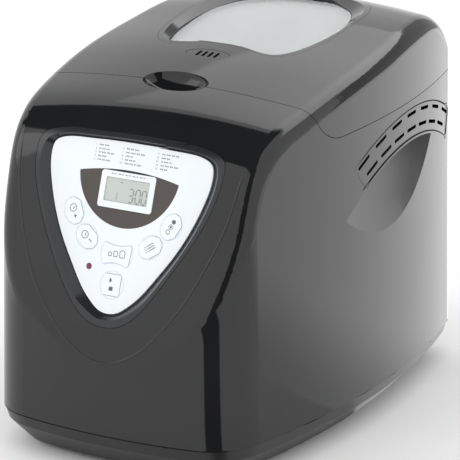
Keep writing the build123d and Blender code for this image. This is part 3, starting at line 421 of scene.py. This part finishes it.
clock = circle_marks(2.7, 0.26) + [(0, 0.9, 0.95, 0.24, 90), (0.7, 0, 0.75, 0.24, 0)]
minus = [(4.0, 0, 1.6, 0.32, 0)]
plus = minus + [(4.0, 0, 1.6, 0.32, 90)]
clock_left = shifted(clock, -2.2)
loaf = [(0, -1.5, 1.55, 0.26, 0), (-1.55, -0.4, 1.1, 0.26, 90), (1.55, -0.4, 1.1, 0.26, 90)]
loaf += shifted(circle_marks(1.75, 0.26, 8, 0, 180), up=0.7)
three_loaves = shifted(loaf, -5.2, -0.5, 0.7) + shifted(loaf, -0.6) + shifted(loaf, 5.0, 0.3, 1.3)
menu_lines = (-1.8, 0, 1.8)
menu = [(0.8, y, 3.4, 0.3, 0) for y in menu_lines] + [(-3.8, y, 0.42, 0.42, 0) for y in menu_lines]
ring = circle_marks(1.6, 0.25, 12)
shades = shifted(ring, -4.2) + ring + [(0, 0, 0.8, 0.8, 0), (4.2, 0, 1.65, 1.65, 0)]
start = [(-1.9 + 0.32 * i, 3.2, 1.9 - 0.3 * i, 0.2, 90) for i in range(7)]
stop = [(0.4 * i - 1.4, -2.8, 1.5, 0.21, 90) for i in range(8)]
legends = {
    "key_time_up": (clock_left + plus, -64),
    "key_time_down": (clock_left + minus, -36),
    "key_loaf_size": (three_loaves, 0),
    "key_menu": (menu, 36),
    "key_color": (shades, 64),
    "key_start_stop": (start + stop, 0),
}
for name, (rows, angle) in legends.items():
    power = 2.0 if name == "key_color" else 4.0
    marks(name + "_legend", turned(rows, key_mid[name], angle), 0.5, print_finish, name, power=power)

# Program list: three columns of five lines, each a number and a few plain words made of short bars.
program_left = (-31.5, -8.8, 20.9)
row_height = (212.1, 209.4, 206.8, 204.1, 201.5)
number_room = 3.0
bar_pitch, bar_half, bar_middle = 0.92, 0.3, 0.42
bar_half_heights = (0.62, 0.42)
word_gap = 0.7
letter = 0.8
words = np.random.default_rng(5).uniform(1.2, 3.0, (3, 5, 4))
lines = []
for column in range(3):
    for row in range(5):
        at = program_left[column] + number_room
        for length in words[column, row][: 2 + (row + column) % 3]:
            for bar in range(int(length / letter) + 1):
                lines.append((at + bar_middle, row_height[row], bar_half, bar_half_heights[bar % 2], 0))
                at += bar_pitch
            at += word_gap
marks("program_lines", lines, 0.0, print_finish, "housing", height=0.03)


def figures(name, texts, size, finish, body, base):
    """Numerals as one flat mesh on the panel.

    Each text (string, across, up) becomes a filled outline, whose points (x, y) go to the panel point
    (across + x, up + y, base)."""
    points, faces, total = [], [], 0
    for text, across, up in texts:
        curve = bpy.data.curves.new(name, "FONT")
        curve.body = text
        curve.size = size
        curve.resolution_u = 3
        holder = bpy.data.objects.new(name + "_curve", curve)
        bpy.context.scene.collection.objects.link(holder)
        bpy.context.view_layer.update()
        flat = bpy.data.meshes.new_from_object(holder.evaluated_get(bpy.context.evaluated_depsgraph_get()))
        spots = vertices_of(flat)
        points.append(panel_point(across + spots[:, 0], up + spots[:, 1], base))
        faces += [[v + total for v in polygon.vertices] for polygon in flat.polygons]
        total += len(spots)
        bpy.data.objects.remove(holder)
        bpy.data.curves.remove(curve)
        bpy.data.meshes.remove(flat)
    return add_piece(name, np.concatenate(points), faces, finish, body, smooth=False)


numbers = []
for column in range(3):
    for row in range(5):
        number = 5 * column + row + 1
        first_digit = 1.2 if number > 9 else 0
        numbers.append((str(number), program_left[column] - first_digit, row_height[row] - 0.7))
figures("program_numbers", numbers, 2.1, print_finish, "housing", 0.03)

small_print = [(-14 + 1.0 * i, 193.2, 0.32, 0.5 - 0.15 * (i % 3), 0) for i in range(30) if i % 6 != 4]
marks("display_small_print", small_print, 0.5, print_finish, "housing", height=0.02)

# Segment display: for each segment its place (in half widths and half heights) and whether it lies flat.
segment_rows = {
    "a": (0, 1, 1), "g": (0, 0, 1), "d": (0, -1, 1),
    "b": (1, 0.5, 0), "c": (1, -0.5, 0), "e": (-1, -0.5, 0), "f": (-1, 0.5, 0),
}
figure_segments = {"0": "abcdef", "1": "bc", "3": "abcdg"}


def lit_figure(figure, across, up, half_x, half_y, stroke):
    """Rows of marks for one figure: each lit segment is one long mark, a stroke short of its corners."""
    rows = []
    for key in figure_segments[figure]:
        x, y, flat = segment_rows[key]
        length = half_x - stroke if flat else half_y / 2 - stroke * 0.7
        rows.append((across + x * half_x, up + y * half_y, length, stroke, 0 if flat else 90))
    return rows


lit = lit_figure("1", -9.4, 177.6, 1.3, 2.9, 0.3)
for figure, across in (("3", 3.6), ("0", 9.4), ("0", 14.6)):
    lit += lit_figure(figure, across, 179.2, 1.8, 4.8, 0.5)
lit += [(6.6, up, 0.4, 0.4, 0) for up in (180.8, 177.6)] + [(-5.5, 187.6, 0.9, 0.45, 0)]
marks("display_digits", lit, -0.3, digit_finish, "housing", height=0.02)


# ---------------------------------------------------------------- creases that lie on the shells

def triangles_of(node):
    """Corner points of a node's triangles, as one array (triangles, 3, 3)."""
    mesh = nodes[node].data
    mesh.calc_loop_triangles()
    corners = np.empty(len(mesh.loop_triangles) * 3, dtype=np.int32)
    mesh.loop_triangles.foreach_get("vertices", corners)
    return vertices_of(mesh)[corners.reshape(-1, 3)]


def drop_on(triangles, starts, direction):
    """First points where rays from the starts meet the triangles, with the normals there.

    Each ray is start + t * direction. It meets a triangle where the two edge weights are both positive and add up
    to less than one, and the smallest t is kept. The normals are turned against the rays."""
    corner = triangles[:, 0]
    edge_1, edge_2 = triangles[:, 1] - corner, triangles[:, 2] - corner
    normal = np.cross(edge_1, edge_2)
    real = np.linalg.norm(normal, axis=1) > 1e-14
    corner, edge_1, edge_2, normal = corner[real], edge_1[real], edge_2[real], normal[real]
    p = np.cross(direction, edge_2)
    determinant = np.einsum("ij,ij->i", edge_1, p)
    determinant = np.where(np.abs(determinant) < 1e-18, 1e-18, determinant)
    s = starts[:, None, :] - corner[None]
    q = np.cross(s, edge_1[None])
    weight_1 = np.einsum("ijk,jk->ij", s, p) / determinant
    weight_2 = np.einsum("ijk,k->ij", q, direction) / determinant
    t = np.einsum("ijk,jk->ij", q, edge_2) / determinant
    slack = 1e-6
    inside = (weight_1 >= -slack) & (weight_2 >= -slack) & (weight_1 + weight_2 <= 1 + slack)
    t = np.where(inside & (t > 0), t, np.inf)
    first = np.argmin(t, axis=1)
    distance = t[np.arange(len(starts)), first]
    facing_out = normal[first] / np.linalg.norm(normal[first], axis=1)[:, None]
    facing_out = np.where((facing_out @ direction)[:, None] > 0, -facing_out, facing_out)
    return starts + distance[:, None] * direction, facing_out


def smooth_path(corners, count):
    """Even points on a curve through the corners.

    Between two corners the curve is the cubic that passes through both, with the slope at each set by the two
    corners beside it."""
    p = np.array(corners, float)
    p = np.concatenate([[2 * p[0] - p[1]], p, [2 * p[-1] - p[-2]]])
    t = np.linspace(0, len(p) - 3 - 1e-9, count * 8)
    k = t.astype(int)
    f = (t - k)[:, None]
    a, b, c, d = p[k], p[k + 1], p[k + 2], p[k + 3]
    line = 0.5 * (2 * b + (c - a) * f + (2 * a - 5 * b + 4 * c - d) * f ** 2 + (3 * b - a - 3 * c + d) * f ** 3)
    return evenly(line, count)


fade_steps = 12.0  # steps of the path over which a bead thins out


def crease(name, starts, direction, node, half, height, finish, body):
    """Soft bead on a shell.

    The starts are dropped on the shell along a direction, and a half ellipse is carried along the path they make:
    half across it, height along the shell's normal. It thins out towards both ends, which are closed."""
    path, normal = drop_on(triangles_of(node), starts, np.array(direction, float))
    found = np.isfinite(path).all(axis=1)
    path, normal = path[found], normal[found]
    for _ in range(3):
        normal = np.roll(normal, 1, 0) + normal + np.roll(normal, -1, 0)
    normal /= np.linalg.norm(normal, axis=1)[:, None]
    side = np.cross(np.gradient(path, axis=0), normal)
    side /= np.linalg.norm(side, axis=1)[:, None]
    t = np.linspace(0, math.pi, 7)
    section = [(half * math.cos(a), height * math.sin(a)) for a in t]
    section += [(-half, -0.3 * height), (half, -0.3 * height)]
    step = np.arange(len(path))
    fade = np.clip(np.minimum(step, step[::-1]) / fade_steps, 0.02, 1)[:, None]
    points = ring_along(path, side * fade, normal * fade, section)
    rows, columns = len(path), len(section)
    faces = loop_faces(rows, columns).reshape(rows, columns, 4)[:-1].reshape(-1, 4).tolist()
    faces += [list(range(columns))[::-1], [(rows - 1) * columns + j for j in range(columns)]]
    return add_piece(name, points, faces, finish, body)


sectors = 90


def sector_reach(angle, distance):
    """Farthest distance in each sector round the middle: the sectors' middle angles, and their distances."""
    sector = np.floor((angle + math.pi) / (2 * math.pi) * sectors).astype(int) % sectors
    largest = np.zeros(sectors)
    np.maximum.at(largest, sector, distance)
    middles = (np.arange(sectors) + 0.5) / sectors * 2 * math.pi - math.pi
    return middles, np.where(largest > 0, largest, largest.max())


rim_share = 0.993  # nearer the middle than this share of the rim's distance, a vertex is on an inner wall


def rim_path(node, low_z, high_z, count):
    """Closed path along a node's outermost vertices between two heights, with its outward directions.

    In each heading from the middle the farthest vertex is kept, and dropped again where it falls short of the
    farthest one in its sector. The path joins the rest in order of angle, at equal steps."""
    spots = vertices_of(nodes[node].data)
    spots = spots[(spots[:, 2] > low_z) & (spots[:, 2] < high_z)]
    mid = (spots[:, :2].min(0) + spots[:, :2].max(0)) / 2
    angle = np.arctan2(spots[:, 1] - mid[1], spots[:, 0] - mid[0])
    distance = np.hypot(spots[:, 1] - mid[1], spots[:, 0] - mid[0])
    heading = angle.round(3)
    outermost_first = np.lexsort((-spots[:, 2], -distance.round(4), heading))
    pick = outermost_first[np.unique(heading[outermost_first], return_index=True)[1]]
    reach = np.interp(angle[pick], *sector_reach(angle[pick], distance[pick]), period=2 * math.pi)
    pick = pick[distance[pick] > rim_share * reach]
    path = evenly(np.concatenate([spots[pick], spots[pick[:1]]]), count, closed=True)
    return path, across_path(path)


def rim_bead(name, path, out, half, depth, proud, finish, body):
    """Closed line round a body, with a half ellipse for its section: half each way in height, proud outwards.

    Its flat back is sunk by a depth, and the whole line is held inside the CAD model's box."""
    t = np.linspace(-math.pi / 2, math.pi / 2, 6)
    section = [(proud * math.cos(a), half * math.sin(a)) for a in t] + [(-depth, half), (-depth, -half)]
    points = ring_along(path, out, np.broadcast_to([0.0, 0.0, 1.0], path.shape), section)
    points = np.clip(points, np.array(cad_box[0]), np.array(cad_box[1]))
    return add_piece(name, points, loop_faces(len(path), len(section)).tolist(), finish, body)


# Painted shade: a near-black, almost matt line stands in for the shade in the base seam's gap and in the groove
# round the vents.
seam_shade_finish = surface("seam shadow", (0.0015, 0.0015, 0.0016), (0.003, 0.003, 0.0032),
                      (0.6, 0.75), 1400, 0.00001, specular=0.1)
# Painted highlight: a pale glossy line just inside the pane's edge stands in for the bright edge of the window
# pane.
pane_edge_highlight_finish = surface("window rim", (0.5, 0.52, 0.53), (0.62, 0.64, 0.65), (0.12, 0.2), 900, 0.000004)
seam_path, seam_out = rim_path("body_shell", 0.0299, 0.0309, 360)
rim_bead("base_seam_line", seam_path, seam_out, half=0.0004, depth=0.0008, proud=0.00004,
         finish=seam_shade_finish, body="housing")
pane_path, pane_out = rim_path("lid_window", 0.2, 0.3, 240)
pane_inset = 0.0006
rim_bead("window_rim_highlight", pane_path - pane_inset * pane_out, pane_out, half=0.0004, depth=0.0006,
         proud=pane_inset, finish=pane_edge_highlight_finish, body="lid")

# Crease round the panel, in panel millimetres. It runs out where the front turns over into the top.
crease_top = 214
bib = smooth_path([(-94, 262), (-93.5, 224), (-91.5, 197), (-87, 170), (-77, 140), (-60, 105), (-31, 71), (0, 58.2),
                   (31, 71), (60, 105), (77, 140), (87, 170), (91.5, 197), (93.5, 224), (94, 262)], 420)
bib = bib[bib[:, 1] < crease_top]
clear_of_front = 60.0
crease("front_crease", panel_point(bib[:, 0], bib[:, 1], clear_of_front), -panel_out, "body_shell",
       half=0.0009, height=0.00028, finish=finishes["gloss_black"], body="housing")


def band_outline(inner, outer, first, last):
    """Outline of a curved band in the side view: out along the outer arc and back along the inner one.

    Both arcs have one middle: (y, z) = radius * (sin angle, cos angle), with angles in degrees from straight up."""
    forth = np.radians(np.linspace(first, last, 150))
    angle = np.concatenate([forth, forth[::-1], forth[:1]])
    radius = np.concatenate([np.full(150, outer), np.full(150, inner), [outer]])
    arcs = np.stack([radius * np.sin(angle), radius * np.cos(angle)], 1)
    return smooth_path(arcs[::6], 360)


# The two rows of vent slots lie in one curved band, whose arcs have their middle low in the side.
knuckle_reach = 0.010  # the hinge knuckles stand out behind the housing
vent_middle_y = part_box("body_shell")[1][1] - knuckle_reach - 0.1258
vent_middle_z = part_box("vent_insert_right")[1][2] - 0.2200
band = band_outline(inner=0.1976, outer=0.2205, first=-26.0, last=27.7)
beside = 0.3  # the rays start well outside the housing
# Each vent outline is a near-black bead too low to cast shade of its own: painted shade of the groove round the
# slots.
for side, word in ((1, "right"), (-1, "left")):
    starts = np.stack([np.full(len(band), beside * side),
                       vent_middle_y + band[:, 0], vent_middle_z + band[:, 1]], 1)
    crease("vent_outline_" + word, starts, (-side, 0, 0), "body_shell",
           half=0.0005, height=0.00006, finish=seam_shade_finish, body="housing")


# ---------------------------------------------------------------- stage

def stage_plane(name, corners, material):
    """Flat stage piece through four corners."""
    mesh = bpy.data.meshes.new(name)
    mesh.from_pydata([tuple(c) for c in corners], [], [(0, 1, 2, 3)])
    piece = bpy.data.objects.new(name, mesh)
    bpy.context.scene.collection.objects.link(piece)
    mesh.materials.append(material)
    return piece


floor_finish = surface("studio floor", (0.93, 0.93, 0.93), (0.96, 0.96, 0.96),
                       (0.8, 0.9), 60, 0.00001, specular=0.0)
floor_half = 8
floor_corners = [(x * floor_half, y * floor_half, 0) for x, y in ((-1, -1), (1, -1), (1, 1), (-1, 1))]
stage_plane("studio_floor", floor_corners, floor_finish)

world = bpy.data.worlds.new("studio")
bpy.context.scene.world = world
world.use_nodes = True
sky = world.node_tree.nodes["Background"]
sky.inputs["Color"].default_value = (1, 1, 1, 1)
sky.inputs["Strength"].default_value = 1.15


def card(name, corners, glow=None):
    """Unseen studio card that shows only in reflections.

    It is black, or glows with a strength that runs smoothly from first at start to second at end along an axis,
    where glow is (first, second, axis, start, end)."""
    material, graph, links, shader = new_finish(name)
    shader.inputs["Base Color"].default_value = (0.004, 0.004, 0.004, 1)
    shader.inputs["Specular IOR Level"].default_value = 0
    shader.inputs["Emission Color"].default_value = (1, 1, 1, 1)
    shader.inputs["Emission Strength"].default_value = 0
    if glow:
        first, second, axis, start, end = glow
        place = graph.new("ShaderNodeTexCoord")
        parts = graph.new("ShaderNodeSeparateXYZ")
        mapped = graph.new("ShaderNodeMapRange")
        mapped.interpolation_type = "SMOOTHSTEP"
        mapped.inputs["From Min"].default_value = start
        mapped.inputs["From Max"].default_value = end
        mapped.inputs["To Min"].default_value = first
        mapped.inputs["To Max"].default_value = second
        links.new(place.outputs["Object"], parts.inputs["Vector"])
        links.new(parts.outputs[axis], mapped.inputs["Value"])
        links.new(mapped.outputs["Result"], shader.inputs["Emission Strength"])
    piece = stage_plane(name, corners, material)
    piece.visible_camera = False
    piece.visible_shadow = False
    piece.visible_diffuse = False
    return piece


def facing(turn_left, turn_right, tip, distance, z0, z1, lean=0.0):
    """Corners of an upright card that faces a point, between two turns in degrees to the right of the front.

    A corner is at tip + distance * (sin turn, -cos turn). Lean brings the upper two nearer."""
    a, b = math.radians(turn_left), math.radians(turn_right)
    far = distance - lean
    return [(tip[0] + r * math.sin(t), tip[1] - r * math.cos(t), z)
            for r, t, z in ((distance, a, z0), (distance, b, z0), (far, b, z1), (far, a, z1))]


def fan(turn_left, turn_right, tip, near, far, z):
    """Corners of a flat card that widens away from a point, between two turns and two distances from it."""
    a, b = math.radians(turn_left), math.radians(turn_right)
    return [(tip[0] + r * math.sin(t), tip[1] - r * math.cos(t), z)
            for r, t in ((near, a), (far, a), (far, b), (near, b))]


# The dark cards make the black band over the front and the black stripe down its right corner, and the glowing
# ones the grey of the side and of the lid.
stripe_foot = (0.085, -0.16)
stripe_turns = (15, 44)
card("dark_side", facing(*stripe_turns, stripe_foot, 3.0, 0.0, 2.6))
card("dark_floor", fan(*stripe_turns, stripe_foot, 0.03, 3.0, 0.002))
card("dark_top", facing(-85, 40, (0, 0), 2.4, 1.3, 2.9, 1.6))
card("dark_ceiling", [(-3.8, -2.2, 2.95), (1.0, -2.2, 2.95), (1.0, 0.85, 2.95), (-3.8, 0.35, 2.95)])
card("pale_rear", [(-0.3, 2.6, 0.02), (2.6, 2.6, 0.02), (2.6, 2.6, 2.2), (-0.3, 2.6, 2.2)],
     (0.6, 0.45, "X", 0.4, 2.3))
card("bright_floor", [(-0.1, 0.0, 0.003), (2.2, 0.0, 0.003), (2.2, 2.5, 0.003), (-0.1, 2.5, 0.003)],
     (1.0, 1.8, "Y", 0.0, 0.24))
card("bright_top", [(-1.4, 0.6, 2.1), (1.6, 0.6, 2.1), (1.6, 2.6, 1.9), (-1.4, 2.6, 1.9)],
     (1.7, 3.4, "X", -1.2, 0.3))


def soft_light(name, place, target, width, height, power):
    """Rectangular soft light aimed at a point."""
    data = bpy.data.lights.new(name, "AREA")
    data.shape = "RECTANGLE"
    data.size = width
    data.size_y = height
    data.energy = power
    lamp = bpy.data.objects.new(name, data)
    lamp.location = place
    lamp.rotation_euler = (Vector(target) - Vector(place)).to_track_quat("-Z", "Y").to_euler()
    bpy.context.scene.collection.objects.link(lamp)


soft_light("left_soft", (-1.4, -1.0, 1.0), (0, 0, 0.15), 0.9, 0.9, 3)

# ---------------------------------------------------------------- camera

turn = math.radians(30.64)  # how far the camera stands round to the right of the front
drop = math.radians(16.95)  # how far it looks down
camera_data = bpy.data.cameras.new("camera")
camera_data.sensor_width = 36
camera_data.lens = 269.2
camera_data.clip_end = 50
camera = bpy.data.objects.new("camera", camera_data)
camera.location = (1.2607, -2.1433, 0.8901)
look = Vector((-math.sin(turn) * math.cos(drop), math.cos(turn) * math.cos(drop), -math.sin(drop)))
camera.rotation_euler = look.to_track_quat("-Z", "Y").to_euler()
bpy.context.scene.collection.objects.link(camera)
bpy.context.scene.camera = camera
bpy.context.scene.view_settings.view_transform = "Standard"
